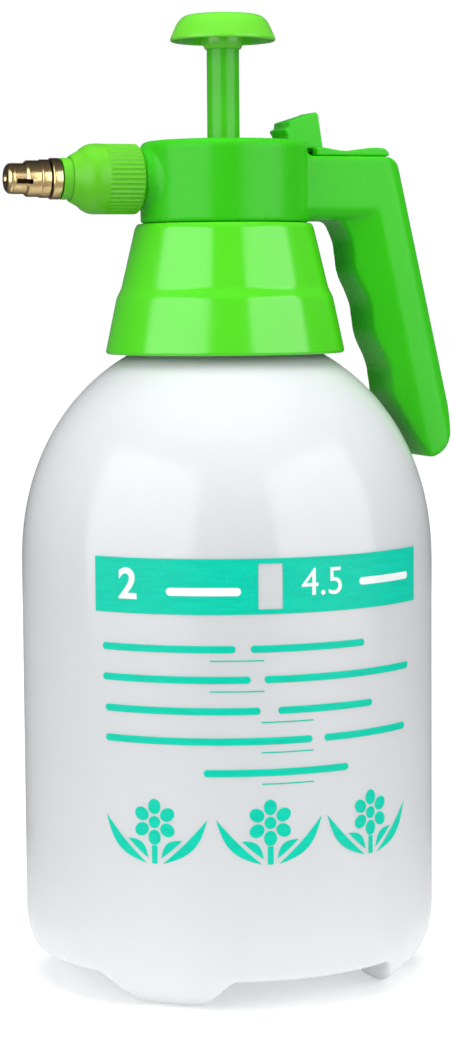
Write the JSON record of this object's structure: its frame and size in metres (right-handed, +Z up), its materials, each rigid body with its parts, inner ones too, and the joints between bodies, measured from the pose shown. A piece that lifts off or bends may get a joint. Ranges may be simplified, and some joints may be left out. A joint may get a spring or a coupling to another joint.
{
  "type": "pump sprayer",
  "caption": "Hand compression sprayer: round footed bottle, screw collar, head with a pistol grip, plunger pump, thumb-lever valve and adjustable brass nozzle.",
  "frame": {"origin": "on the bottle's axis in the plane of its feet", "axes": "+Z up along the bottle's axis, +X towards the handle, nozzle along -X"},
  "size_m": [0.1414, 0.128, 0.2978],
  "materials": {
    "bottle_plastic": "satin, slightly translucent",
    "collar_plastic": "gloss",
    "head_plastic": "gloss",
    "lime_plastic": "gloss",
    "white_plastic": "satin",
    "tube_plastic": "translucent",
    "rubber_black": "matt",
    "steel": "bright",
    "brass": "polished, turned"
  },
  "bodies": {
    "bottle": {"bottle": "bottle_plastic"},
    "head": {"head_shell": "head_plastic", "handle_top_cover": "head_plastic", "lever_pin": "steel", "pump_barrel": "white_plastic", "barrel_o_ring": "rubber_black", "flange_screws": "steel", "rod_guide": "head_plastic", "guide_o_rings": "rubber_black", "check_valve_cage": "white_plastic", "valve_seat": "white_plastic", "valve_spring": "steel", "valve_gland": "white_plastic", "stem_seal": "rubber_black", "dip_tube": "tube_plastic", "strainer": "lime_plastic", "neck_gasket": "rubber_black", "nozzle_gasket": "rubber_black"},
    "collar": {"collar": "collar_plastic"},
    "plunger": {"pump_knob": "head_plastic", "pump_rod": "head_plastic", "piston": "white_plastic", "piston_seal": "rubber_black"},
    "lever": {"thumb_lever": "head_plastic"},
    "valve": {"valve_stem": "white_plastic", "valve_washer": "rubber_black"},
    "check_valve": {"check_disc": "rubber_black"},
    "nozzle": {"nozzle_body": "lime_plastic", "swirl_core": "white_plastic"},
    "union_nut": {"nozzle_nut": "lime_plastic"},
    "cap_ring": {"nozzle_o_ring": "rubber_black"},
    "cap": {"nozzle_cap": "brass"}
  },
  "joints": [
    {"name": "head_lift", "type": "slide", "parent": "bottle", "child": "head", "axis": [0, 0, 1], "range_m": [0, 0.22]},
    {"name": "collar_turn", "type": "hinge", "parent": "head", "child": "collar", "pos_m": [0, 0, 0.21], "axis": [0, 0, 1], "range_deg": [0, 720]},
    {"name": "pump_stroke", "type": "slide", "parent": "head", "child": "plunger", "axis": [0, 0, 1], "range_m": [-0.025, 0.06]},
    {"name": "lever_press", "type": "hinge", "parent": "head", "child": "lever", "pos_m": [0.0113, 0, 0.2553], "axis": [0, 1, 0], "range_deg": [0, 12]},
    {"name": "valve_lift", "type": "slide", "parent": "head", "child": "valve", "axis": [0, 0, -1], "range_m": [0, 0.0014], "deforming": ["valve_spring"]},
    {"name": "check_lift", "type": "slide", "parent": "head", "child": "check_valve", "axis": [0, 0, -1], "range_m": [0, 0.0015]},
    {"name": "nozzle_out", "type": "slide", "parent": "head", "child": "nozzle", "axis": [-1, 0, 0], "range_m": [0, 0.003]},
    {"name": "nut_turn", "type": "hinge", "parent": "nozzle", "child": "union_nut", "pos_m": [-0.035, 0, 0.247], "axis": [-1, 0, 0], "range_deg": [0, 720]},
    {"name": "cap_travel", "type": "slide", "parent": "nozzle", "child": "cap_ring", "axis": [-1, 0, 0], "range_m": [0, 0.00115]},
    {"name": "cap_turn", "type": "hinge", "parent": "cap_ring", "child": "cap", "pos_m": [-0.06, 0, 0.247], "axis": [-1, 0, 0], "range_deg": [0, 540]}
  ],
  "couplings": [
    {"joint": "valve_lift", "follows": "lever_press", "m_per_rad": 0.0061},
    {"joint": "nozzle_out", "follows": "nut_turn", "m_per_rad": 0.00023873},
    {"joint": "cap_travel", "follows": "cap_turn", "m_per_rad": 0.00011937}
  ]
}
